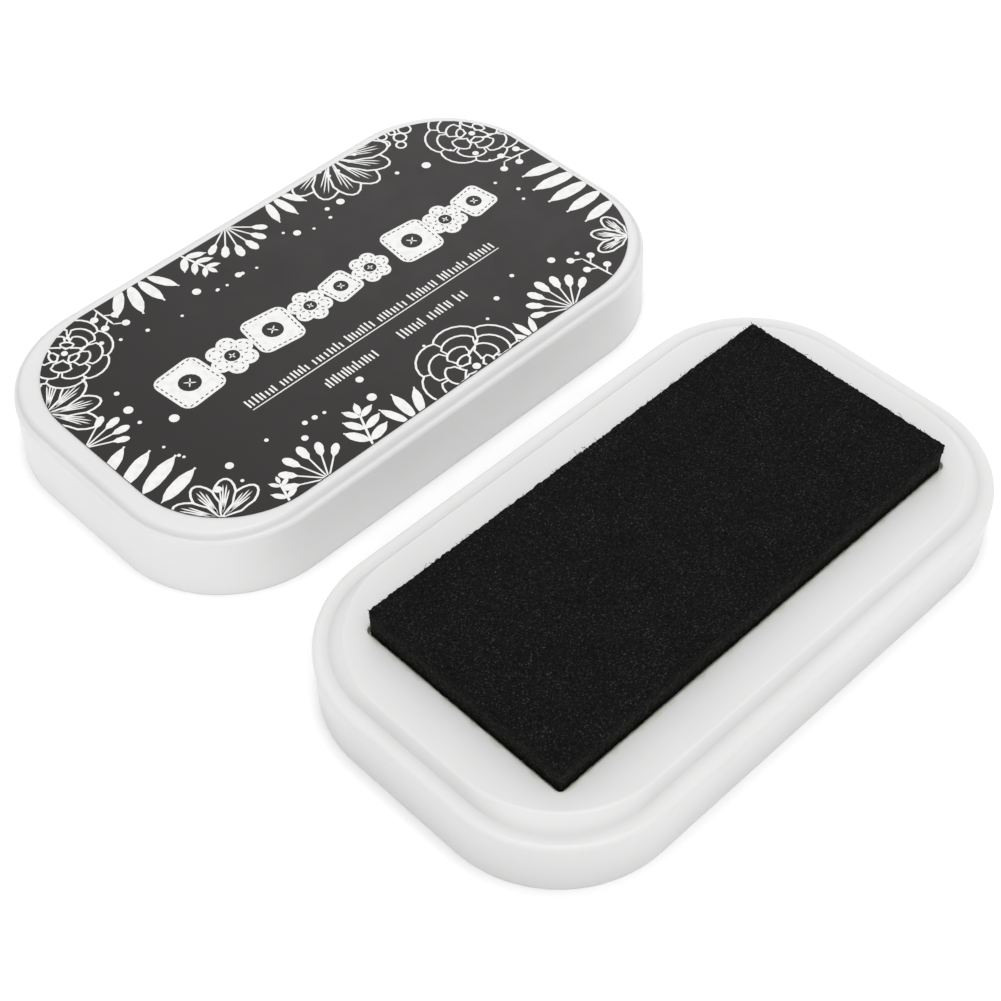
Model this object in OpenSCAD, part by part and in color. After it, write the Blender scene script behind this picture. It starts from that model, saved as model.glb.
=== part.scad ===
// Stamp ink pad: a shallow moulded base that carries a raised, ink-soaked pad,
// and a lift-off lid lying beside it. Millimetres, +Z up, everything rests on Z = 0.
// The origin is midway between the base and the lid, at table level.

/* [Outline] */
// Length of the base and of the lid at their widest
outline_length = 100; // [80:0.5:120]
// Width of the base and of the lid at their widest
outline_width = 57.6; // [46:0.2:70]
// Corner radius seen from above
corner_radius = 19; // [10:0.5:24]
// Clear space between the base and the lid as they lie side by side
side_gap = 10.4; // [5:0.2:40]

/* [Base shell] */
// Height of the ledge that the lid's rim sits on
ledge_height = 9.8; // [7:0.1:13]
// Height of the raised deck around the pad
deck_height = 11.4; // [9:0.1:15]
// How far the outer wall leans in from the ledge down to the foot
base_draft = 0.25; // [0:0.05:1]
// Rounding where the outer wall turns into the ledge
ledge_round = 0.8; // [0.3:0.1:1.5]
// Rounding along the foot
foot_round = 0.3; // [0.1:0.1:0.6]
// Distance from the outline to the foot of the deck's step
deck_start = 2.5; // [2.4:0.05:4]
// Corner radius of the deck's step at its foot
deck_foot_corner = 15.7; // [15:0.1:16]
// Distance from the foot of the deck's step to the deck's edge, seen from above
deck_step_run = 1.1; // [0.8:0.05:1.6]
// Corner radius of the deck's edge
deck_edge_corner = 17.2; // [16:0.1:19]
// Rounding along the deck's edge
deck_edge_round = 0.5; // [0.2:0.05:0.8]
// Wall thickness of the moulding
base_wall = 1.6; // [1.2:0.1:2.2]

/* [Pad well] */
// Length of the well that the pad is set in
well_length = 78.6; // [60:0.1:84]
// Width of the well that the pad is set in
well_width = 36.6; // [25:0.1:42]
// Depth of the well below the deck
well_depth = 1.2; // [1:0.1:3]
// Corner radius of the well
well_corner = 1; // [0.5:0.1:3]

/* [Pad] */
// Length of the pad
pad_length = 77.4; // [58:0.1:82]
// Width of the pad
pad_width = 35.4; // [24:0.1:40]
// Corner radius of the pad
pad_corner = 0.4; // [0.3:0.1:3]
// Height of the pad's top face above the deck
pad_rise = 4.2; // [1:0.1:6]
// Thickness of the felt face on the foam
felt_thickness = 1.5; // [0.8:0.1:2.5]
// Thickness of the adhesive film under the foam
film_thickness = 0.15; // [0.1:0.05:0.3]
// Border left free of film round the underside of the foam
film_border = 1.5; // [0.5:0.1:5]

/* [Lid shell] */
// Height of the lid's narrow ledge
lid_ledge_height = 11.3; // [9:0.1:16]
// Height of the lid's raised panel
panel_height = 12.1; // [10:0.1:18]
// How far the lid's wall leans in from the rim up to the ledge
lid_draft = 0.2; // [0:0.05:1]
// Rounding where the lid's wall turns into its ledge
lid_ledge_round = 0.7; // [0.3:0.1:1.5]
// Rounding along the outside of the lid's rim
rim_round = 0.25; // [0.1:0.05:0.5]
// Distance from the outline to the start of the panel's step
panel_start = 1.05; // [1:0.05:3]
// Corner radius of the panel at the start of its step
panel_corner = 17.2; // [10:0.1:20]
// Hollow radius at the foot of the panel's step
panel_foot_round = 0.3; // [0.1:0.05:1]
// Rounding along the top of the panel's step
panel_top_round = 0.5; // [0.2:0.05:1]
// Slope of the panel's step, measured from level
panel_slope = 50; // [35:1:80]
// Wall thickness of the moulding
lid_wall = 1.8; // [1.2:0.1:2.2]

/* [Label] */
// Length of the label
label_length = 93.2; // [70:0.1:95]
// Width of the label
label_width = 51.8; // [38:0.1:53]
// Corner radius of the label
label_corner = 16.6; // [8:0.1:20]
// Thickness of the label
label_thickness = 0.15; // [0.1:0.05:0.3]
// How far the hand-laid label sits off centre along its length
label_shift = 1; // [0:0.1:1.3]

/* [Hidden] */
$fn = 96;
eps = 1;
deck_facets = 128;
level_thickness = 0.02;
centre_offset = (outline_width + side_gap) / 2;
well_floor = deck_height - well_depth;
foam_bottom = well_floor + film_thickness;
pad_top = deck_height + pad_rise;
foam_top = pad_top - felt_thickness;
// Inner corner radii of the two hollow shells
base_hollow_corner = corner_radius - base_draft - base_wall;
lid_hollow_corner = corner_radius - lid_wall;
// Room under the deck, inside the step
under_deck_inset = deck_start + base_wall + 0.4;
under_panel_inset = panel_start + lid_wall + 0.3;

// Flat plate with rounded corners, standing on Z = low
module rounded_plate(long, wide, corner, low, high) {
    translate([-long / 2 + corner, -wide / 2, low])
        cube([long - 2 * corner, wide, high - low]);
    translate([-long / 2, -wide / 2 + corner, low])
        cube([long, wide - 2 * corner, high - low]);
    for (x = [-long / 2 + corner, long / 2 - corner], y = [-wide / 2 + corner, wide / 2 - corner])
        translate([x, y, low])
            cylinder(r = corner, h = high - low);
}

// Bar of one edge section: the section on both sides with solid fill between
module edge_bar(run, half_gap, low, high) {
    rotate([90, 0, 90])
        translate([0, 0, -run / 2])
            linear_extrude(run) {
                translate([half_gap, 0])
                    children();
                mirror([1, 0])
                    translate([half_gap, 0])
                        children();
                translate([-half_gap - eps, low])
                    square([2 * half_gap + 2 * eps, high - low]);
            }
}

// Solid block whose edge follows a section drawn outward from the corner centre
module moulded_block(long, wide, corner, low, high) {
    half_long = long / 2 - corner;
    half_wide = wide / 2 - corner;
    for (x = [-half_long, half_long], y = [-half_wide, half_wide])
        translate([x, y, 0])
            rotate_extrude()
                children();
    edge_bar(2 * half_long, half_wide, low, high)
        children();
    rotate([0, 0, 90])
        edge_bar(2 * half_wide, half_long, low, high)
            children();
}

// Section of a drafted wall: outline radius at the bottom and at the top, both edges rounded
module wall_section(low_radius, high_radius, high, low_round, high_round) {
    polygon([
        [0, 0],
        [low_radius - low_round, 0],
        [low_radius, low_round],
        [high_radius, high - high_round],
        [high_radius - high_round, high],
        [0, high]
    ]);
    translate([low_radius - low_round, low_round])
        circle(r = low_round);
    translate([high_radius - high_round, high - high_round])
        circle(r = high_round);
}

// Section of a raised step: hollow foot, sloping face, rounded top
module step_section(start, low, high, foot, top, slope) {
    foot_end = [start - foot * sin(slope), low + foot * (1 - cos(slope))];
    top_z = high - top * (1 - cos(slope));
    top_x = foot_end[0] - (top_z - foot_end[1]) / tan(slope);
    round_x = top_x - top * sin(slope);
    difference() {
        union() {
            polygon([
                [0, low - eps],
                [start, low - eps],
                [start, low],
                foot_end,
                [top_x, top_z],
                [round_x, high],
                [0, high]
            ]);
            translate([round_x, high - top])
                circle(r = top);
        }
        translate([start, low + foot])
            circle(r = foot);
    }
}

// Section of a hollow, widest at its open mouth
module hollow_section(mouth_radius, end_radius, low, high) {
    polygon([
        [0, low],
        [mouth_radius, low],
        [end_radius, high],
        [0, high]
    ]);
}

// Four corner discs of one level of the deck's step, at a distance in from the outline
module deck_level(inset, corner, z) {
    half_long = outline_length / 2 - inset - corner;
    half_wide = outline_width / 2 - inset - corner;
    for (x = [-half_long, half_long], y = [-half_wide, half_wide])
        translate([x, y, z - level_thickness])
            cylinder(r = corner, h = level_thickness, $fn = deck_facets);
}

// Raised deck. Its edge has rounder corners than its foot, so the step widens at the corners
module deck_form() {
    edge_start = deck_start + deck_step_run - deck_edge_round / 2;
    hull() {
        deck_level(deck_start, deck_foot_corner, ledge_height);
        for (turn = [0:15:90])
            deck_level(
                edge_start + deck_edge_round * (1 - cos(turn)),
                deck_edge_corner,
                deck_height - deck_edge_round * (1 - sin(turn))
            );
    }
}

// Outer form of the base, before it is hollowed
module base_form() {
    moulded_block(outline_length, outline_width, corner_radius, 0, ledge_height)
        wall_section(
            corner_radius - base_draft, corner_radius, ledge_height, foot_round, ledge_round
        );
    deck_form();
}

// Hollow under the base: full width up to the ledge, narrower up to the deck
module base_hollow() {
    moulded_block(outline_length, outline_width, corner_radius, -eps, ledge_height - base_wall)
        hollow_section(
            base_hollow_corner, base_hollow_corner - base_draft,
            -eps, ledge_height - base_wall
        );
    moulded_block(outline_length, outline_width, corner_radius, 0, deck_height - base_wall)
        hollow_section(
            corner_radius - under_deck_inset, corner_radius - under_deck_inset - base_draft,
            0, deck_height - base_wall
        );
}

// One-piece moulded base: skirt, ledge, raised deck and the well for the pad
module base_shell() {
    color("whitesmoke")
        difference() {
            base_form();
            difference() {
                base_hollow();
                rounded_plate(
                    well_length + 2 * base_wall, well_width + 2 * base_wall,
                    well_corner + base_wall, well_floor - base_wall, deck_height
                );
            }
            rounded_plate(well_length, well_width, well_corner, well_floor, deck_height + eps);
        }
}

// Adhesive film that bonds the foam to the floor of the well
module pad_adhesive() {
    color("lightgoldenrodyellow")
        rounded_plate(
            pad_length - 2 * film_border, pad_width - 2 * film_border,
            pad_corner, well_floor, foam_bottom
        );
}

// Ink-holding foam block
module foam_core() {
    color("dimgray")
        rounded_plate(pad_length, pad_width, pad_corner, foam_bottom, foam_top);
}

// Felt face that a stamp is pressed on
module felt_face() {
    color("black")
        rounded_plate(pad_length, pad_width, pad_corner, foam_top, pad_top);
}

// Outer form of the lid, before it is hollowed
module lid_form() {
    moulded_block(outline_length, outline_width, corner_radius, 0, lid_ledge_height)
        wall_section(
            corner_radius, corner_radius - lid_draft, lid_ledge_height,
            rim_round, lid_ledge_round
        );
    moulded_block(
        outline_length - 2 * panel_start, outline_width - 2 * panel_start,
        panel_corner, lid_ledge_height - eps, panel_height
    )
        step_section(
            panel_corner, lid_ledge_height, panel_height,
            panel_foot_round, panel_top_round, panel_slope
        );
}

// Hollow inside the lid: full width up to the ledge, narrower up to the panel
module lid_hollow() {
    moulded_block(outline_length, outline_width, corner_radius, -eps, lid_ledge_height - lid_wall)
        hollow_section(
            lid_hollow_corner, lid_hollow_corner - lid_draft,
            -eps, lid_ledge_height - lid_wall
        );
    moulded_block(outline_length, outline_width, corner_radius, 0, panel_height - lid_wall)
        hollow_section(
            corner_radius - under_panel_inset, corner_radius - under_panel_inset - lid_draft,
            0, panel_height - lid_wall
        );
}

// One-piece moulded lid with a low raised panel on top
module lid_shell() {
    color("white")
        difference() {
            lid_form();
            lid_hollow();
        }
}

// Printed self-adhesive label on the raised panel
module lid_label() {
    color("darkslategray")
        translate([label_shift, 0, 0])
            rounded_plate(
                label_length, label_width, label_corner,
                panel_height, panel_height + label_thickness
            );
}

// The base lies in front of the origin and the lid behind it
module in_base_place() {
    translate([0, -centre_offset, 0])
        children();
}

module in_lid_place() {
    translate([0, centre_offset, 0])
        children();
}

in_base_place() base_shell();
in_base_place() pad_adhesive();
in_base_place() foam_core();
in_base_place() felt_face();
in_lid_place() lid_shell();
in_lid_place() lid_label();
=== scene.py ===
import math
import random

import bpy
from mathutils import Matrix, Vector


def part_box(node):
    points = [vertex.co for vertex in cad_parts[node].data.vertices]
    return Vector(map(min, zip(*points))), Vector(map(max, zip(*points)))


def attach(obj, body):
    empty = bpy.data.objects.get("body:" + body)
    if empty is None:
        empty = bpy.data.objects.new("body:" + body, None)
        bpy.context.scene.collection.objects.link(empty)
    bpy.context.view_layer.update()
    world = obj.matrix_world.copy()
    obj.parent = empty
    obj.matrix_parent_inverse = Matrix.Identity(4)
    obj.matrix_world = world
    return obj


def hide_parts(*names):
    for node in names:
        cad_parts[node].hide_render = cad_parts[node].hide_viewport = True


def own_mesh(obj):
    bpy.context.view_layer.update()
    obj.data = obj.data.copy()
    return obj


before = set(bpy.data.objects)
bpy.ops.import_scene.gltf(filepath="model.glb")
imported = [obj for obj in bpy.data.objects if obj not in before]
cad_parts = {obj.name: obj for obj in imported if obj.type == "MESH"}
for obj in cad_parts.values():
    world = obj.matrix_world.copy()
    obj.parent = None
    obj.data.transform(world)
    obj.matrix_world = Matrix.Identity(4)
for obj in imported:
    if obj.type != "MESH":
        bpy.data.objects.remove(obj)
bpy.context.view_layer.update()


# ---- Base shell ------------------------------------------------------------------
# The base is one polypropylene moulding: a drafted skirt, a rounded ledge for the
# lid, a stepped deck and a shallow well for the pad. The plastic is a milky white
# with a fine satin mould texture, and ink has crept onto the deck round the pad.
MM = 0.001
base_low, base_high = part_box("base_shell")
base_middle = (base_low + base_high) / 2


def new_material(name):
    """A material with nothing in its node tree but its output and main shader."""
    material = bpy.data.materials.new(name)
    material.use_nodes = True
    return material, material.node_tree.nodes, material.node_tree.links


def object_noise(nodes, links, scale, detail=2.0, roughness=0.5):
    """Noise that is fixed to the piece, with its scale in cells per metre."""
    place = nodes.new("ShaderNodeTexCoord")
    noise = nodes.new("ShaderNodeTexNoise")
    noise.inputs["Scale"].default_value = scale
    noise.inputs["Detail"].default_value = detail
    noise.inputs["Roughness"].default_value = roughness
    links.new(place.outputs["Object"], noise.inputs["Vector"])
    return noise


def ramp(nodes, links, value, stops):
    """Colour ramp from (position, colour) pairs, fed by a value."""
    node = nodes.new("ShaderNodeValToRGB")
    node.color_ramp.interpolation = "EASE"
    while len(node.color_ramp.elements) < len(stops):
        node.color_ramp.elements.new(0.5)
    for element, (position, colour) in zip(node.color_ramp.elements, stops):
        element.position = position
        element.color = (*colour, 1.0)
    links.new(value, node.inputs["Fac"])
    return node


def spread_range(nodes, links, value, start, end, low, high, smooth=False):
    """Map a value from one range to another."""
    node = nodes.new("ShaderNodeMapRange")
    node.interpolation_type = "SMOOTHSTEP" if smooth else "LINEAR"
    node.inputs["From Min"].default_value = start
    node.inputs["From Max"].default_value = end
    node.inputs["To Min"].default_value = low
    node.inputs["To Max"].default_value = high
    links.new(value, node.inputs["Value"])
    return node.outputs["Result"]


def beyond_outline(nodes, links, middle, half_length, half_width, corner):
    """Distance out from a rounded outline seen from above, below nought inside it."""
    place = nodes.new("ShaderNodeTexCoord").outputs["Object"]
    for operation, vector in (
        ("SUBTRACT", middle),
        ("ABSOLUTE", None),
        ("SUBTRACT", (half_length - corner, half_width - corner, 0)),
        ("MAXIMUM", (0, 0, 0)),
        ("MULTIPLY", (1, 1, 0)),
        ("LENGTH", None),
    ):
        step = nodes.new("ShaderNodeVectorMath")
        step.operation = operation
        links.new(place, step.inputs[0])
        if vector is not None:
            step.inputs[1].default_value = vector
        place = step.outputs["Value" if operation == "LENGTH" else "Vector"]
    distance = nodes.new("ShaderNodeMath")
    distance.operation = "SUBTRACT"
    distance.inputs[1].default_value = corner
    links.new(place, distance.inputs[0])
    return distance.outputs["Value"]


def darken(nodes, links, colour, amount, tone):
    """Multiply a colour by a tone, by an amount from 0 to 1."""
    blend = nodes.new("ShaderNodeMix")
    blend.data_type = "RGBA"
    blend.blend_type = "MULTIPLY"
    links.new(amount, blend.inputs["Factor"])
    links.new(colour, blend.inputs["A"])
    blend.inputs["B"].default_value = (*tone, 1.0)
    return blend.outputs["Result"]


def satin_plastic(name, light, dark, shades):
    """Milky satin moulded plastic. Shades darken its colour, one after another."""
    material, nodes, links = new_material(name)
    shader = nodes["Principled BSDF"]
    shader.inputs["IOR"].default_value = 1.49
    shader.inputs["Subsurface Weight"].default_value = 0.12
    shader.inputs["Subsurface Radius"].default_value = (1.0, 0.95, 0.9)
    shader.inputs["Subsurface Scale"].default_value = 2 * MM
    cloud = object_noise(nodes, links, 45.0, detail=1.0)
    colour = ramp(nodes, links, cloud.outputs["Fac"], [(0.0, dark), (1.0, light)]).outputs["Color"]
    for shade in shades:
        amount, tone = shade(nodes, links)
        colour = darken(nodes, links, colour, amount, tone)
    links.new(colour, shader.inputs["Base Color"])
    gloss = spread_range(nodes, links, cloud.outputs["Fac"], 0, 1, 0.29, 0.39)
    links.new(gloss, shader.inputs["Roughness"])
    grain = object_noise(nodes, links, 5200.0)
    softened = nodes.new("ShaderNodeBevel")
    softened.samples = 6
    softened.inputs["Radius"].default_value = 0.22 * MM
    bump = nodes.new("ShaderNodeBump")
    bump.inputs["Strength"].default_value = 0.12
    bump.inputs["Distance"].default_value = 0.02 * MM
    links.new(grain.outputs["Fac"], bump.inputs["Height"])
    links.new(softened.outputs["Normal"], bump.inputs["Normal"])
    links.new(bump.outputs["Normal"], shader.inputs["Normal"])
    return material


def painted_crease_shade(middle, half_length, half_width, corner, spread, tone):
    """Painted shade in the hollow along the foot of a moulded step: the colour is darkened most at
    the step's foot line.
    """

    def shade(nodes, links):
        distance = beyond_outline(nodes, links, middle, half_length, half_width, corner)
        width = nodes.new("ShaderNodeMath")
        width.operation = "ABSOLUTE"
        links.new(distance, width.inputs[0])
        # painted shade: darkest on the foot line, fading out to either side
        amount = spread_range(nodes, links, width.outputs["Value"], 0, spread, 1, 0, smooth=True)
        return amount, (tone, tone, tone)

    return shade


def painted_height_shade(shade_start, shade_full, tone):
    """Painted shade: the plastic darkens by a tone, blending in from one height to another."""

    def shade(nodes, links):
        place = nodes.new("ShaderNodeSeparateXYZ")
        links.new(nodes.new("ShaderNodeTexCoord").outputs["Object"], place.inputs["Vector"])
        # painted shade, blended in between the two heights
        amount = spread_range(nodes, links, place.outputs["Z"], shade_start, shade_full, 0, 1, smooth=True)
        return amount, (tone, tone, tone)

    return shade


well_half_length = 39.3 * MM
well_half_width = 18.3 * MM
well_corner = 1.0 * MM
deck_inset = 2.5 * MM
deck_foot_corner = 15.7 * MM


def crept_ink(nodes, links):
    """An uneven, faintly olive rim of ink on the deck round the well."""
    distance = beyond_outline(
        nodes, links, base_middle, well_half_length, well_half_width, well_corner
    )
    wander = object_noise(nodes, links, 420.0, detail=4.0)
    reach = spread_range(nodes, links, wander.outputs["Fac"], 0.3, 0.7, -0.1 * MM, 0.75 * MM)
    gap = nodes.new("ShaderNodeMath")
    gap.operation = "SUBTRACT"
    links.new(distance, gap.inputs[0])
    links.new(reach, gap.inputs[1])
    spread = spread_range(nodes, links, gap.outputs["Value"], -0.5 * MM, 0.4 * MM, 1, 0, smooth=True)
    place = nodes.new("ShaderNodeSeparateXYZ")
    links.new(nodes.new("ShaderNodeTexCoord").outputs["Object"], place.inputs["Vector"])
    amount = nodes.new("ShaderNodeMath")
    amount.operation = "MULTIPLY"
    links.new(spread, amount.inputs[0])
    above = spread_range(nodes, links, place.outputs["Z"], 9.4 * MM, 9.9 * MM, 0, 1)
    links.new(above, amount.inputs[1])
    return amount.outputs["Value"], (0.8, 0.8, 0.7)


# The base's colour carries painted shade: darker in the crease at the foot of the deck step, and
# darker down the skirt towards the floor. The olive rim round the well is crept ink.
base_plastic = satin_plastic(
    "base_plastic",
    (0.67, 0.67, 0.668),
    (0.62, 0.62, 0.617),
    (
        # painted shade in the crease at the foot of the deck step
        painted_crease_shade(
            base_middle,
            (base_high.x - base_low.x) / 2 - deck_inset,
            (base_high.y - base_low.y) / 2 - deck_inset,
            deck_foot_corner,
            1.3 * MM,
            0.92,
        ),
        # painted shade, darker from 9 mm down to the floor
        painted_height_shade(9 * MM, 0, 0.9),
        crept_ink,
    ),
)
base_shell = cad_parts["base_shell"]
base_shell.data.materials.clear()
base_shell.data.materials.append(base_plastic)


# ---- Lid shell -------------------------------------------------------------------
# The lid is a second moulding in the same plastic, with a narrow ledge round a low
# raised panel. It is loose, and lies flat beside the base.
lid_low, lid_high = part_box("lid_shell")
lid_middle = (lid_low + lid_high) / 2
panel_inset = 1.2 * MM
panel_corner = 17.2 * MM
# The lid's colour is painted a shade lighter than the base's, standing in for light that its walls
# lose beside the base.
lid_plastic = satin_plastic(
    "lid_plastic",
    (0.72, 0.72, 0.718),
    (0.67, 0.67, 0.667),
    (
        # painted shade in the crease at the foot of the raised panel
        painted_crease_shade(
            lid_middle,
            (lid_high.x - lid_low.x) / 2 - panel_inset,
            (lid_high.y - lid_low.y) / 2 - panel_inset,
            panel_corner,
            0.5 * MM,
            0.88,
        ),
        # rim and panel painted darker from 10.6 mm up, so the walls read lighter
        painted_height_shade(10.6 * MM, 11.2 * MM, 0.93),
    ),
)
lid_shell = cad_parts["lid_shell"]
lid_shell.data.materials.clear()
lid_shell.data.materials.append(lid_plastic)


# ---- Label film ------------------------------------------------------------------
# The label is die-cut from thin satin film, printed a warm near-black all over. It is
# stuck down by hand on the lid's raised panel, so it sits a little off centre.
label_low, label_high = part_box("lid_label")
label_middle = (label_low + label_high) / 2
label_face = label_high.z

label_film, nodes, links = new_material("label_film")
shader = nodes["Principled BSDF"]
shader.inputs["IOR"].default_value = 1.45
shader.inputs["Specular IOR Level"].default_value = 0.42
cloud = object_noise(nodes, links, 28.0, detail=3.0)
film_tint = ramp(
    nodes,
    links,
    cloud.outputs["Fac"],
    [(0.32, (0.007, 0.005, 0.0045)), (0.68, (0.01, 0.0074, 0.0068))],
)
links.new(film_tint.outputs["Color"], shader.inputs["Base Color"])
rub = object_noise(nodes, links, 160.0, detail=4.0, roughness=0.65)
film_gloss = spread_range(nodes, links, rub.outputs["Fac"], 0.3, 0.7, 0.36, 0.46)
links.new(film_gloss, shader.inputs["Roughness"])
film_grain = object_noise(nodes, links, 2600.0)
film_bump = nodes.new("ShaderNodeBump")
film_bump.inputs["Strength"].default_value = 0.1
film_bump.inputs["Distance"].default_value = 0.02 * MM
links.new(film_grain.outputs["Fac"], film_bump.inputs["Height"])
links.new(film_bump.outputs["Normal"], shader.inputs["Normal"])

lid_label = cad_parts["lid_label"]
lid_label.data.materials.clear()
lid_label.data.materials.append(label_film)


# ---- Printing blanks -------------------------------------------------------------
# The printing is white ink, with dark ink over it for seams and veins. Each blank is
# one printed shape, a unit long from the origin along +X, and is stamped many times.
def select_only(piece):
    """Select one object and make it the active one."""
    bpy.ops.object.select_all(action="DESELECT")
    piece.select_set(True)
    bpy.context.view_layer.objects.active = piece


def round_blank(name, corners):
    """A flat disc, a unit across, with its rim on the origin."""
    bpy.ops.object.select_all(action="DESELECT")
    bpy.ops.mesh.primitive_circle_add(
        vertices=corners, radius=0.5, fill_type="NGON", location=(0.5, 0, 0)
    )
    disc = bpy.context.object
    disc.name = name
    bpy.ops.object.transform_apply(location=True, rotation=True, scale=True)
    return disc


def draw_in(disc, start, end, width):
    """Scale the width of the stretch of a blank between two places along it."""
    select_only(disc)
    for part in (*disc.data.polygons, *disc.data.edges):
        part.select = False
    for vertex in disc.data.vertices:
        vertex.select = start <= vertex.co.x < end
    bpy.ops.object.mode_set(mode="EDIT")
    bpy.ops.mesh.select_mode(type="VERT")
    bpy.ops.transform.resize(value=(1, width, 1), center_override=(0, 0, 0))
    bpy.ops.object.mode_set(mode="OBJECT")


def thicken(disc):
    """Raise a flat blank into a closed plate, a unit thick."""
    select_only(disc)
    bpy.ops.object.mode_set(mode="EDIT")
    bpy.ops.mesh.select_all(action="SELECT")
    bpy.ops.mesh.extrude_region_move(TRANSFORM_OT_translate={"value": (0, 0, 1)})
    bpy.ops.mesh.select_all(action="SELECT")
    bpy.ops.mesh.normals_make_consistent(inside=False)
    bpy.ops.object.mode_set(mode="OBJECT")


dot_blank = round_blank("dot_blank", 16)
leaf_blank = round_blank("leaf_blank", 18)
for start, end, width in ((0.0, 0.1, 0.3), (0.1, 0.3, 0.85), (0.7, 0.9, 0.75), (0.9, 0.99, 0.3)):
    draw_in(leaf_blank, start, end, width)
drop_blank = round_blank("drop_blank", 18)
for start, end, width in ((0.0, 0.1, 0.25), (0.1, 0.3, 0.5), (0.3, 0.55, 0.82)):
    draw_in(drop_blank, start, end, width)
line_blank = round_blank("line_blank", 8)
draw_in(line_blank, 0.4, 0.6, 0.8)


def square_blank(name, cut_back, segments):
    """A flat unit square, with its corners cut back by a bevel."""
    bpy.ops.object.select_all(action="DESELECT")
    bpy.ops.mesh.primitive_plane_add(size=1.0, location=(0.5, 0, 0))
    square = bpy.context.object
    square.name = name
    bpy.ops.object.transform_apply(location=True, rotation=True, scale=True)
    bpy.ops.object.mode_set(mode="EDIT")
    bpy.ops.mesh.select_all(action="SELECT")
    bpy.ops.mesh.bevel(offset=cut_back, segments=segments, affect="VERTICES")
    bpy.ops.object.mode_set(mode="OBJECT")
    return square


# the cloth patch has round corners, and the plain bar has sharp ones
patch_blank = square_blank("patch_blank", 0.2, 4)
bar_blank = square_blank("bar_blank", 0.08, 1)

blanks = (dot_blank, leaf_blank, drop_blank, line_blank, patch_blank, bar_blank)
for disc in blanks:
    thicken(disc)

# a shape starts just under the film's face, and each layer and motif ends a hair above
# the one before it, so that later ink covers earlier ink
ink_below = 0.01 * MM
ink_coat = 0.008 * MM
ink_layer = 0.0008 * MM
motif_layer = 0.00061 * MM
WHITE, DARK = 0, 1
stamped = {}
motifs = []


def stamp(piece, ink, disc, place, heading, length, width, layer=0):
    """Print a blank: place is in millimetres from the label's middle, heading in degrees."""
    copy = disc.copy()
    copy.data = disc.data.copy()
    where = label_middle + Vector((place[0], place[1], 0)) * MM
    where.z = label_face - ink_below
    height = ink_below + ink_coat + layer * ink_layer + len(motifs) * motif_layer
    copy.data.transform(
        Matrix.Translation(where)
        @ Matrix.Rotation(math.radians(heading), 4, "Z")
        @ Matrix.Diagonal((length * MM, width * MM, height, 1.0))
    )
    bpy.context.scene.collection.objects.link(copy)
    stamped.setdefault((piece, ink), []).append(copy)


def along(place, heading, distance, aside=0.0):
    """The point a distance along a heading, and then a distance to its left."""
    turn = math.radians(heading)
    return (
        place[0] + distance * math.cos(turn) - aside * math.sin(turn),
        place[1] + distance * math.sin(turn) + aside * math.cos(turn),
    )


# ---- Printed leaves, twigs and buds ----------------------------------------------
# A garden border grows inward from the label's edge in flat white ink: solid leaves
# in fans, leafy twigs, sprigs of round buds, and loose dots.
def leaf_fan(place, heading, length, count, spread, gap, plump=0.26):
    """Leaves side by side, a gap apart across their heading, opening by a spread."""
    motifs.append("leaf_fan")
    for step in range(count):
        share = step / max(count - 1, 1) - 0.5
        reach = length * (1.0 - 0.3 * abs(share + 0.15))
        root = along(place, heading, 0, gap * (count - 1) * share)
        stamp("print_leaves", WHITE, leaf_blank, root, heading + spread * share,
              reach, reach * plump, step)


def leafy_twig(place, heading, length, pairs, leaf_length):
    """A stem with pairs of leaves that shrink towards a last leaf at its tip."""
    motifs.append("leafy_twig")
    stamp("print_leaves", WHITE, line_blank, place, heading, length, 0.5, 2 * pairs)
    for pair in range(pairs):
        root = along(place, heading, length * (pair + 0.6) / pairs)
        reach = leaf_length * (1.0 - 0.45 * pair / pairs)
        for side in (-1, 1):
            stamp("print_leaves", WHITE, leaf_blank, root, heading + side * 50,
                  reach, reach * 0.36, 2 * pair + (side > 0))
    tip = along(place, heading, length * 0.93)
    stamp("print_leaves", WHITE, leaf_blank, tip, heading, leaf_length * 0.6,
          leaf_length * 0.24, 2 * pairs + 1)


def bud_sprig(place, heading, length, count, spread):
    """Thin stalks that open from one root, each with a drop-shaped bud at its end."""
    motifs.append("bud_sprig")
    for step in range(count):
        share = step / (count - 1) - 0.5
        turn = heading + spread * share
        reach = length * (1.0 - 0.3 * abs(share))
        stamp("print_buds", WHITE, line_blank, place, turn, reach * 0.75, 0.34, step)
        stamp("print_buds", WHITE, drop_blank, along(place, turn, reach * 0.58), turn,
              reach * 0.42, reach * 0.2, count + step)


def berry_branch(place, heading, length, count):
    """A stem with round berries on short stalks, to one side and the other in turn."""
    stalk, berry = 1.9, 1.3
    motifs.append("berry_branch")
    stamp("print_buds", WHITE, line_blank, place, heading, length, 0.45, 0)
    for step in range(count):
        side = 1 if step % 2 else -1
        root = along(place, heading, length * (step + 0.8) / count)
        turn = heading + side * 52
        end = along(root, turn, stalk)
        stamp("print_buds", WHITE, line_blank, root, turn, stalk, 0.32, 1 + step)
        stamp("print_buds", WHITE, dot_blank, along(end, 0, -berry / 2), 0, berry, berry,
              1 + count + step)


# ---- Printed flowers -------------------------------------------------------------
# Open flowers and layered roses stand half out from the edge. Every petal is a white
# shape with a smaller dark one printed over it, and an open flower's petals have fine
# white veins on top.
def petal(place, heading, length, width, layer, veins, rim=0.38):
    """A white petal with a dark heart, a rim's width inside it, and veins from its root."""
    stamp("print_petals", WHITE, drop_blank, place, heading, length, width, layer)
    stamp("print_petal_hearts", DARK, drop_blank, along(place, heading, rim * 1.3), heading,
          length - rim * 2.3, width - rim * 2, layer + 1)
    for vein in range(veins):
        share = (vein + 0.5) / veins - 0.5
        stamp("print_petals", WHITE, line_blank, along(place, heading, length * 0.12),
              heading + share * 2 * math.degrees(math.atan2(width * 0.42, length)),
              length * (0.78 - 0.5 * abs(share)), 0.3, layer + 2)


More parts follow.
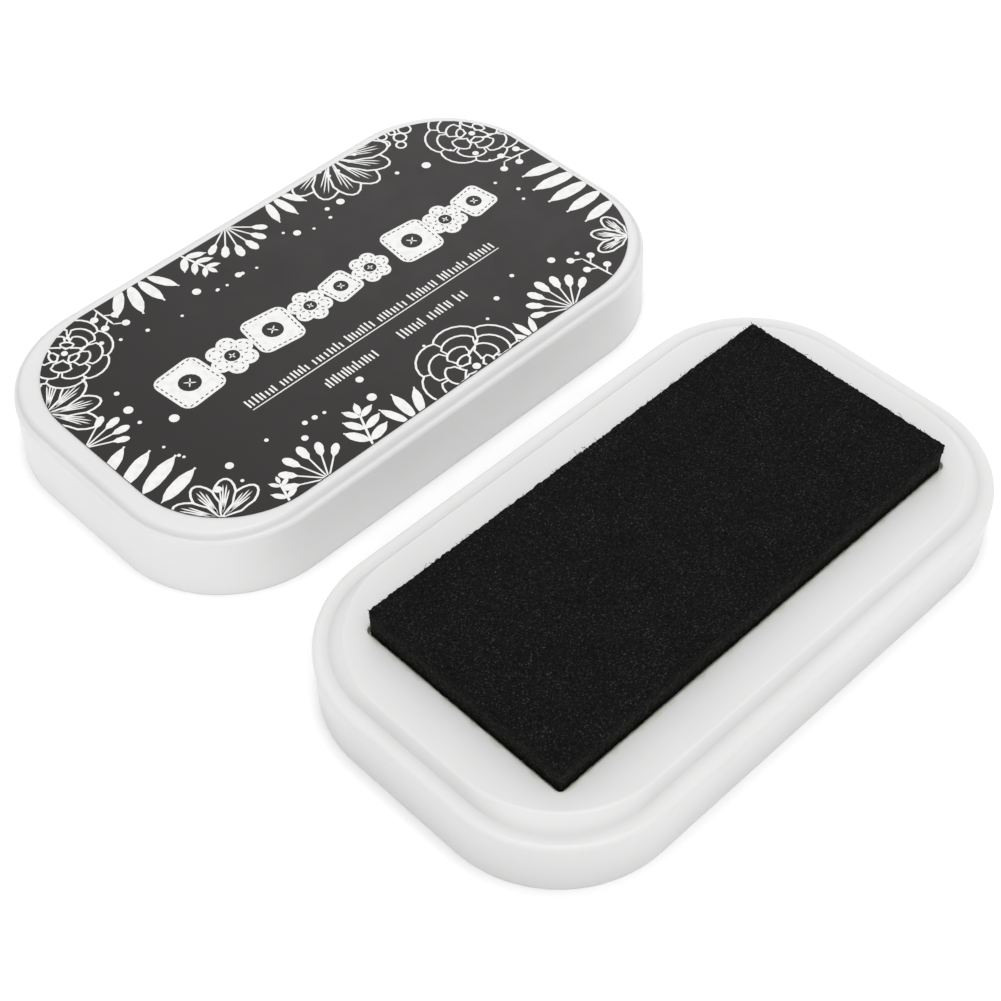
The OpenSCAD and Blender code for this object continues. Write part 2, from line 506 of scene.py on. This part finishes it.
def open_flower(place, heading, length, count, spread, stamens):
    """Petals and stamens that open from one root, with a dot at each stamen's end."""
    motifs.append("open_flower")
    for step in range(count):
        share = step / (count - 1) - 0.5
        petal(place, heading + spread * share, length, length * 0.5, 3 * step, veins=4)
    for step in range(stamens):
        turn = heading + 1.1 * spread * ((step + 0.5) / stamens - 0.5)
        reach = length * (0.42 if step % 2 else 0.34)
        stamp("print_petals", WHITE, line_blank, place, turn, reach, 0.34, 3 * count)
        stamp("print_petals", WHITE, dot_blank, along(along(place, turn, reach), 0, -0.4),
              0, 0.8, 0.8, 3 * count + 1)


def layered_rose(place, turn, radius):
    """Rings of petals, each ring smaller and printed over the one before."""
    motifs.append("layered_rose")
    layer = 0
    for reach, count in ((1.0, 7), (0.78, 6), (0.56, 5), (0.34, 3)):
        for step in range(count):
            heading = turn + 31 * count + 360 * step / count
            width = radius * reach * (0.86 if count > 3 else 1.0)
            petal(along(place, heading, radius * reach * 0.3), heading,
                  radius * reach * 0.7, width, layer, veins=0, rim=0.34)
            layer += 2
    stamp("print_petals", WHITE, dot_blank, along(place, 0, -radius * 0.07), 0,
          radius * 0.14, radius * 0.14, layer)


def bubble_cluster(place, heading, count):
    """Small rings packed in a spiral."""
    motifs.append("bubble_cluster")
    for step in range(count):
        across = 1.5 + 0.5 * (step * 7 % 3)
        middle = along(place, heading + 137.5 * step, 0.95 * math.sqrt(step + 0.3) * 1.3)
        stamp("print_buds", WHITE, dot_blank, along(middle, 0, -across / 2), 0, across, across,
              3 * step)
        stamp("print_bud_hearts", DARK, dot_blank, along(middle, 0, 0.34 - across / 2), 0,
              across - 0.68, across - 0.68, 3 * step + 1)


# ---- Printed border --------------------------------------------------------------
# The motifs are set out round the edge, side by side, with their roots just over it.
# The real label is die-cut after it is printed, so its edge trims them.
half_length = (label_high.x - label_low.x) / 2 / MM
half_width = (label_high.y - label_low.y) / 2 / MM
edge_corner = 16.6

# left end
open_flower((-47, 12.5), -6, 8.4, 4, 104, stamens=0)
bud_sprig((-47, 3), 2, 7.7, 4, 58)
leaf_fan((-47.6, -8.6), 20, 9.0, 4, 12, 3.3)
open_flower((-41.5, -21.5), 66, 7.6, 4, 110, stamens=0)
# near side
leafy_twig((-33, -26.5), 72, 4.8, 2, 2.6)
bud_sprig((-26, -26.4), 96, 8.1, 6, 112)
leafy_twig((-17.5, -26.6), 66, 7.5, 3, 4.4)
leaf_fan((-9.2, -26.6), 84, 6.7, 3, 46, 1.2)
layered_rose((4.5, -25), 12, 9.4)
leaf_fan((15, -26.6), 92, 4.6, 3, 60, 0.6)
bud_sprig((24, -26.4), 92, 8.3, 7, 120)
berry_branch((33.5, -25.8), 96, 6.6, 4)
# right end
open_flower((42, -21), 130, 6.2, 3, 84, stamens=3)
leaf_fan((47.6, -7), 174, 9.2, 5, 20, 3.1)
berry_branch((47, 5.5), 172, 6.2, 4)
layered_rose((42.5, 15.5), 40, 8.2)
# far side
bubble_cluster((32.5, 25), 20, 9)
open_flower((21, 27.6), -92, 10.6, 6, 136, stamens=6)
leaf_fan((8, 26.6), -86, 6.5, 3, 40, 1.4)
bud_sprig((-2, 26.4), -97, 8.1, 6, 104)
leafy_twig((-11.5, 26.5), -76, 6.2, 3, 3.6)
leaf_fan((-20.5, 26.5), -98, 7.6, 4, 64, 1.5)
berry_branch((-28.5, 26), -88, 5.3, 4)
layered_rose((-37.5, 21), 70, 7.6)

# loose dots, between the motifs and the title
dots = random.Random(11)
dot_count = 52
for count in range(dot_count):
    inset = dots.uniform(7.0, 11.6)
    across = 0.5 + 1.1 * dots.random() ** 2
    run_length, run_width = half_length - inset, half_width - inset
    walk = dots.uniform(0, 2 * (run_length + run_width))
    sign = 1 if count % 2 else -1
    if walk < 2 * run_length:
        middle = (walk - run_length, sign * run_width)
    else:
        middle = (sign * run_length, walk - 2 * run_length - run_width)
    stamp("print_buds", WHITE, dot_blank, middle, 0, across, across, 10 + 0.4 * count)


# ---- Printed title and lines -----------------------------------------------------
# A row of quilted patches with running stitches and sewn buttons fills the middle,
# and rows of plain bars under it stand in for the words.
def running_stitch(middle, side, heading):
    """Dashes just inside the rim of a square patch."""
    count = max(2, round(side / 1.15))
    for quarter in range(4):
        turn = heading + 90 * quarter
        for step in range(count):
            share = (step + 0.5) / count - 0.5
            place = along(middle, turn, share * (side - 1.5) - 0.28, (side - 1.15) / 2)
            stamp("print_stitches", DARK, line_blank, place, turn, 0.62, 0.24, 8)


def ring_stitch(middle, radius, count):
    """Dashes in a ring."""
    dash = 0.56
    for step in range(count):
        turn = 360 * step / count
        place = along(along(middle, turn, radius), turn + 90, -dash / 2)
        stamp("print_stitches", DARK, line_blank, place, turn + 90, dash, 0.22, 8)


def sewn_button(middle, across, heading):
    """A dark button with a white cross of thread."""
    stamp("print_stitches", DARK, dot_blank, along(middle, 0, -across / 2), 0, across, across, 9)
    for turn in (heading, heading + 90):
        stamp("print_patches", WHITE, line_blank, along(middle, turn, -across * 0.28), turn,
              across * 0.56, 0.3, 11)


title_line = 2.7


def square_patch(u, side, turn):
    """A square of cloth with a button, sewn on round its rim."""
    middle = (u, title_line)
    corner = along(middle, turn, -side / 2)
    stamp("print_patches", WHITE, patch_blank, corner, turn, side, side, 2)
    running_stitch(middle, side, turn)
    sewn_button(middle, side * 0.42, turn + 45)


def flower_patch(u, across, lobes, turn):
    """A scalloped round of cloth with a button and a ring of stitches in each lobe."""
    middle = (u, title_line)
    lobe = across * 0.4
    for step in range(lobes):
        heading = turn + 360 * step / lobes
        centre = along(middle, heading, (across - lobe) / 2)
        stamp("print_patches", WHITE, dot_blank, along(centre, 0, -lobe / 2), 0, lobe, lobe, step)
        ring_stitch(centre, lobe * 0.28, 5)
    stamp("print_patches", WHITE, dot_blank, along(middle, 0, -across * 0.3), 0,
          across * 0.6, across * 0.6, lobes)
    sewn_button(middle, across * 0.3, turn)


patch_row = (
    ("square", -28.0, 8.6, 5),
    ("flower", -19.9, 8.2, 12),
    ("square", -11.9, 8.1, -7),
    ("flower", -4.4, 7.2, 30),
    ("square", 1.9, 5.8, 9),
    ("flower", 8.0, 6.9, 0),
    ("square", 16.9, 8.2, -5),
    ("flower", 24.2, 7.4, 18),
    ("square", 30.6, 6.2, 8),
)
for kind, u, across, turn in patch_row:
    if kind == "square":
        square_patch(u, across, turn)
    else:
        flower_patch(u, across, 6, turn)

bars = random.Random(5)


def bar_row(start, end, foot, height, group):
    """Thin upright bars of mixed height on one foot line, in groups, from start to end."""
    u, count = start, 0
    while u < end:
        tall = height * bars.choice((0.7, 0.85, 1.0))
        stamp("print_bars", WHITE, bar_blank, (u, foot + tall / 2), 0, 0.3, tall, 2)
        count += 1
        u += 1.5 if count % group == 0 else bars.uniform(0.58, 0.86)


bar_row(-25.0, 25.4, -7.8, 1.75, 8)
stamp("print_bars", WHITE, bar_blank, (-25.0, -8.35), 0, 50.4, 0.2, 2)
bar_row(-14.0, -4.2, -13.0, 1.95, 20)
bar_row(0.8, 14.3, -13.0, 1.95, 7)


# ---- Printing on the label -------------------------------------------------------
# The stamped shapes are each cut to the label's rounded outline. Those of one kind and
# one ink are then joined into a sheet, which moves with the lid.
label_white, nodes, links = new_material("label_white")
shader = nodes["Principled BSDF"]
shader.inputs["Specular IOR Level"].default_value = 0.35
ink_cover = object_noise(nodes, links, 900.0, detail=3.0)
ink_tint = ramp(
    nodes, links, ink_cover.outputs["Fac"],
    [(0.25, (0.66, 0.66, 0.65)), (0.6, (0.74, 0.74, 0.735))],
)
links.new(ink_tint.outputs["Color"], shader.inputs["Base Color"])
ink_gloss = spread_range(nodes, links, ink_cover.outputs["Fac"], 0, 1, 0.4, 0.52)
links.new(ink_gloss, shader.inputs["Roughness"])
ink_bump = nodes.new("ShaderNodeBump")
ink_bump.inputs["Strength"].default_value = 0.1
ink_bump.inputs["Distance"].default_value = 0.01 * MM
links.new(ink_cover.outputs["Fac"], ink_bump.inputs["Height"])
links.new(ink_bump.outputs["Normal"], shader.inputs["Normal"])

# planes that stand just inside the label's outline, a fan of them round each corner
facets = 10
edge_margin = 0.05
edge_planes = []
for quarter, (long_side, wide_side) in enumerate(((1, 1), (-1, 1), (-1, -1), (1, -1))):
    centre = label_middle + MM * Vector(
        (long_side * (half_length - edge_corner), wide_side * (half_width - edge_corner), 0)
    )
    for facet in range(facets + 1):
        turn = math.radians(90 * quarter + 90 * facet / facets)
        outward = Vector((math.cos(turn), math.sin(turn), 0))
        edge_planes.append((centre + outward * (edge_corner - edge_margin) * MM, outward))

least_left = 0.2 * MM
least_cut = 0.01 * MM


def trim_to_label(shape):
    """Cut one printed shape along the outline, and close the cut. False if none is left."""
    for place, outward in edge_planes:
        reach = [(vertex.co - place).dot(outward) for vertex in shape.data.vertices]
        if min(reach) > -least_left:
            return False
        if max(reach) > least_cut:
            select_only(shape)
            bpy.ops.object.mode_set(mode="EDIT")
            bpy.ops.mesh.select_all(action="SELECT")
            bpy.ops.mesh.bisect(
                plane_co=place, plane_no=outward, clear_outer=True, threshold=0.001 * MM
            )
            bpy.ops.mesh.select_all(action="SELECT")
            bpy.ops.mesh.fill_holes(sides=0)
            bpy.ops.mesh.select_all(action="SELECT")
            bpy.ops.mesh.normals_make_consistent(inside=False)
            bpy.ops.object.mode_set(mode="OBJECT")
    return True


for (piece, ink), copies in stamped.items():
    kept = []
    for copy in copies:
        if trim_to_label(copy):
            kept.append(copy)
        else:
            bpy.data.objects.remove(copy)
    bpy.ops.object.select_all(action="DESELECT")
    for copy in kept:
        copy.select_set(True)
    sheet = kept[0]
    bpy.context.view_layer.objects.active = sheet
    bpy.ops.object.join()
    sheet.name = piece
    sheet.data.name = piece
    sheet.data.materials.clear()
    sheet.data.materials.append((label_white, label_film)[ink])
    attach(sheet, "lid")

for disc in blanks:
    bpy.data.objects.remove(disc)


# ---- Felt face -------------------------------------------------------------------
# The pad's face is a die-cut sheet of dense black felt, bonded on the foam and soaked
# with ink. Its top has a fine nap, and its cut edges are slightly ragged.
felt_low, felt_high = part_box("felt_face")


def fine_block(name, low, high, cell, layers):
    """A closed block with a fine grid on top and below, and walls in thin layers."""
    bpy.ops.object.select_all(action="DESELECT")
    size, middle = high - low, (low + high) / 2
    bpy.ops.mesh.primitive_grid_add(
        x_subdivisions=round(size.x / cell),
        y_subdivisions=round(size.y / cell),
        size=1.0,
        location=(middle.x, middle.y, low.z),
    )
    block = bpy.context.object
    block.name = name
    block.data.name = name
    block.scale = (size.x, size.y, 1.0)
    bpy.ops.object.transform_apply(location=True, rotation=True, scale=True)
    bpy.ops.object.mode_set(mode="EDIT")
    bpy.ops.mesh.select_all(action="SELECT")
    bpy.ops.mesh.extrude_region_move(TRANSFORM_OT_translate={"value": (0, 0, size.z)})
    bpy.ops.mesh.select_all(action="SELECT")
    bpy.ops.mesh.normals_make_consistent(inside=False)
    bpy.ops.mesh.select_all(action="DESELECT")
    bpy.ops.mesh.select_mode(type="EDGE")
    bpy.ops.object.mode_set(mode="OBJECT")
    for edge in block.data.edges:
        ends = [block.data.vertices[index].co for index in edge.vertices]
        edge.select = abs(ends[0].z - ends[1].z) > size.z / 2
    bpy.ops.object.mode_set(mode="EDIT")
    bpy.ops.mesh.subdivide(number_cuts=layers - 1)
    bpy.ops.object.mode_set(mode="OBJECT")
    return block


def ruffle(block, name, grain, depth, hard=False):
    """Push the surface in and out by a cloud pattern, and apply it."""
    pattern = bpy.data.textures.new(name, "CLOUDS")
    pattern.noise_scale = grain
    pattern.noise_depth = 2
    pattern.noise_type = "HARD_NOISE" if hard else "SOFT_NOISE"
    select_only(block)
    push = block.modifiers.new(name, "DISPLACE")
    push.texture = pattern
    push.texture_coords = "LOCAL"
    push.mid_level = 0.5
    push.strength = depth
    bpy.ops.object.modifier_apply(modifier=name)


def soft_pad(name, base, fleck, fleck_grain, bump_depth):
    """Ink-soaked textile: near-black, with fine paler flecks and almost no shine."""
    material, nodes, links = new_material(name)
    shader = nodes["Principled BSDF"]
    shader.inputs["Roughness"].default_value = 0.85
    shader.inputs["Specular IOR Level"].default_value = 0.1
    flecks = object_noise(nodes, links, fleck_grain, roughness=0.7)
    tint = ramp(
        nodes, links, flecks.outputs["Fac"],
        [(0.34, tuple(0.1 * part for part in base)), (0.5, base),
         (0.6, tuple(2.2 * part for part in base)), (0.72, fleck)],
    )
    patches = object_noise(nodes, links, 180.0, detail=3.0)
    soak = ramp(nodes, links, patches.outputs["Fac"], [(0.3, (0.75, 0.75, 0.76)), (0.7, (1, 1, 1))])
    blend = nodes.new("ShaderNodeMix")
    blend.data_type = "RGBA"
    blend.blend_type = "MULTIPLY"
    blend.inputs["Factor"].default_value = 1.0
    links.new(tint.outputs["Color"], blend.inputs["A"])
    links.new(soak.outputs["Color"], blend.inputs["B"])
    links.new(blend.outputs["Result"], shader.inputs["Base Color"])
    bump = nodes.new("ShaderNodeBump")
    bump.inputs["Strength"].default_value = 0.7
    bump.inputs["Distance"].default_value = bump_depth
    links.new(flecks.outputs["Fac"], bump.inputs["Height"])
    links.new(bump.outputs["Normal"], shader.inputs["Normal"])
    return material


felt_face = fine_block("felt_face_sheet", felt_low, felt_high, 0.3 * MM, 5)
ruffle(felt_face, "felt_waves", 9 * MM, 0.14 * MM)
ruffle(felt_face, "felt_cut", 0.5 * MM, 0.42 * MM)
select_only(felt_face)
bpy.ops.object.shade_smooth()
felt = soft_pad("felt", (0.0034, 0.0034, 0.0035), (0.05, 0.05, 0.051), 3700.0, 0.1 * MM)
felt_face.data.materials.append(felt)
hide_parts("felt_face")
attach(felt_face, "pad_face")


# ---- Felt nap --------------------------------------------------------------------
# Loose fibres lie over the felt and stand out from its cut edges. One bent strand,
# finer than a hair, is copied all over the face by seeded draws.
bpy.ops.object.select_all(action="DESELECT")
bpy.ops.mesh.primitive_cylinder_add(
    vertices=3, radius=0.045, depth=1.0, end_fill_type="TRIFAN", location=(0, 0, 0.5)
)
strand = bpy.context.object
strand.name = "strand"
bpy.ops.object.transform_apply(location=True, rotation=True, scale=True)
bpy.ops.object.mode_set(mode="EDIT")
bpy.ops.mesh.select_all(action="DESELECT")
bpy.ops.mesh.select_mode(type="EDGE")
bpy.ops.object.mode_set(mode="OBJECT")
for edge in strand.data.edges:
    ends = [strand.data.vertices[index].co for index in edge.vertices]
    edge.select = abs(ends[0].z - ends[1].z) > 0.5
bpy.ops.object.mode_set(mode="EDIT")
bpy.ops.mesh.subdivide(number_cuts=2)
bpy.ops.mesh.select_mode(type="VERT")
bpy.ops.mesh.select_all(action="DESELECT")
bpy.ops.object.mode_set(mode="OBJECT")
for vertex in strand.data.vertices:
    vertex.select = 0.2 < vertex.co.z < 0.8
bpy.ops.object.mode_set(mode="EDIT")
bpy.ops.transform.translate(value=(0.15, 0, 0))
bpy.ops.object.mode_set(mode="OBJECT")

draws = random.Random(23)
strand_count = 3000
strand_width = 0.75 * MM
strands = []
for count in range(strand_count):
    length = draws.uniform(0.5, 1.3) * MM
    at_edge = count % 2 == 0
    x = draws.uniform(felt_low.x, felt_high.x)
    y = draws.uniform(felt_low.y, felt_high.y)
    lean = math.radians(draws.uniform(78, 90))
    spin = draws.uniform(0, 2 * math.pi)
    z = felt_high.z - 0.03 * MM
    if at_edge:
        on_long_side = draws.random() < 0.69
        if on_long_side:
            y = draws.choice((felt_low.y, felt_high.y))
        else:
            x = draws.choice((felt_low.x, felt_high.x))
        z = draws.uniform(felt_low.z + 0.2 * MM, felt_high.z)
        length *= 0.36
        lean = math.radians(draws.uniform(30, 90))
    copy = strand.copy()
    copy.data = strand.data.copy()
    copy.data.transform(
        Matrix.Translation((x, y, z))
        @ Matrix.Rotation(spin, 4, "Z")
        @ Matrix.Rotation(lean, 4, "Y")
        @ Matrix.Rotation(draws.uniform(0, 2 * math.pi), 4, "Z")
        @ Matrix.Diagonal((strand_width, strand_width, length, 1.0))
    )
    bpy.context.scene.collection.objects.link(copy)
    strands.append(copy)
bpy.ops.object.select_all(action="DESELECT")
for copy in strands:
    copy.select_set(True)
felt_nap = strands[0]
bpy.context.view_layer.objects.active = felt_nap
bpy.ops.object.join()
felt_nap.name = "felt_nap"
felt_nap.data.name = "felt_nap"
bpy.data.objects.remove(strand)
nap = soft_pad("felt_nap", (0.006, 0.006, 0.0062), (0.03, 0.03, 0.031), 900.0, 0.02 * MM)
felt_nap.data.materials.clear()
felt_nap.data.materials.append(nap)
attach(felt_nap, "pad_face")


# ---- Foam core -------------------------------------------------------------------
# Under the felt is a block of open-cell foam that stores the ink, bonded into the
# well. Its cut sides are pitted, and it gives when a stamp is pressed on the pad.
foam_low, foam_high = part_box("foam_core")
foam_block = fine_block("foam_block", foam_low, foam_high, 0.4 * MM, 11)
ruffle(foam_block, "foam_cells", 0.7 * MM, 0.18 * MM, hard=True)
select_only(foam_block)
bpy.ops.object.shade_smooth()
foam = soft_pad("foam", (0.0075, 0.0075, 0.0066), (0.042, 0.042, 0.036), 3300.0, 0.1 * MM)
foam_block.data.materials.append(foam)
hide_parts("foam_core")
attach(foam_block, "base")
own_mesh(foam_block)


# ---- Adhesive film ---------------------------------------------------------------
# A thin film of tacky yellowish adhesive bonds the foam to the floor of the well. It is
# laid in before the foam, and the pad hides it.
adhesive, nodes, links = new_material("adhesive")
shader = nodes["Principled BSDF"]
tack = object_noise(nodes, links, 700.0, detail=3.0)
tack_tint = ramp(
    nodes, links, tack.outputs["Fac"], [(0.3, (0.5, 0.46, 0.36)), (0.7, (0.6, 0.56, 0.45))]
)
links.new(tack_tint.outputs["Color"], shader.inputs["Base Color"])
tack_gloss = spread_range(nodes, links, tack.outputs["Fac"], 0, 1, 0.3, 0.6)
links.new(tack_gloss, shader.inputs["Roughness"])
tack_bump = nodes.new("ShaderNodeBump")
tack_bump.inputs["Strength"].default_value = 0.3
tack_bump.inputs["Distance"].default_value = 0.02 * MM
links.new(tack.outputs["Fac"], tack_bump.inputs["Height"])
links.new(tack_bump.outputs["Normal"], shader.inputs["Normal"])
pad_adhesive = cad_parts["pad_adhesive"]
pad_adhesive.data.materials.clear()
pad_adhesive.data.materials.append(adhesive)


# ---- Floor, light and camera -----------------------------------------------------
# Base and lid lie on a pale matt floor in a bright white studio. Square soft panels
# stand round them, and the camera looks down from over the near corner.
bpy.ops.object.select_all(action="DESELECT")
bpy.ops.mesh.primitive_plane_add(size=6.0, location=(0, 0, 0))
floor = bpy.context.object
floor.name = "floor"
floor_paint, nodes, links = new_material("floor_paint")
shader = nodes["Principled BSDF"]
shader.inputs["Roughness"].default_value = 0.9
shader.inputs["Specular IOR Level"].default_value = 0.0
mottle = object_noise(nodes, links, 3.0)
tint = ramp(
    nodes, links, mottle.outputs["Fac"],
    [(0.3, (0.955, 0.955, 0.955)), (0.7, (0.97, 0.97, 0.97))],
)
links.new(tint.outputs["Color"], shader.inputs["Base Color"])
floor.data.materials.append(floor_paint)

world = bpy.data.worlds.new("studio")
world.use_nodes = True
backdrop = world.node_tree.nodes["Background"]
backdrop.inputs["Color"].default_value = (1.0, 1.0, 1.0, 1.0)
backdrop.inputs["Strength"].default_value = 0.81
bpy.context.scene.world = world


def soft_light(name, place, size, power):
    """A square studio panel that faces the object."""
    panel = bpy.data.lights.new(name, "AREA")
    panel.shape = "SQUARE"
    panel.size = size
    panel.energy = power
    lamp = bpy.data.objects.new(name, panel)
    lamp.location = place
    lamp.rotation_euler = (-Vector(place)).to_track_quat("-Z", "Y").to_euler()
    bpy.context.scene.collection.objects.link(lamp)


soft_light("key_panel", (-0.62, -0.2, 0.76), 0.7, 1.5)
soft_light("top_panel", (0.0, -0.42, 0.9), 0.6, 1.7)
soft_light("overhead_panel", (0.06, 0.08, 0.9), 0.2, 1.2)
soft_light("front_panel", (0.15, -0.9, 0.3), 0.6, 0.6)
soft_light("back_panel", (0.62, 0.62, 0.55), 0.5, 0.9)

azimuth = math.radians(-43.716)
elevation = math.radians(48.468)
roll = math.radians(-1.025)
aim = Vector((-3.29, -4.81, 0.0)) * MM
distance = 294.734 * MM
lens_to_frame = 1983.08 / 1001.0
away = Vector(
    (
        math.sin(azimuth) * math.cos(elevation),
        -math.cos(azimuth) * math.cos(elevation),
        math.sin(elevation),
    )
)
lens = bpy.data.cameras.new("camera")
lens.sensor_width = 36.0
lens.lens = lens.sensor_width * lens_to_frame
lens.clip_start = 0.01
camera = bpy.data.objects.new("camera", lens)
camera.matrix_world = (
    Matrix.Translation(aim + away * distance)
    @ away.to_track_quat("Z", "Y").to_matrix().to_4x4()
    @ Matrix.Rotation(roll, 4, "Z")
)
bpy.context.scene.collection.objects.link(camera)
bpy.context.scene.camera = camera
bpy.context.scene.view_settings.view_transform = "Standard"
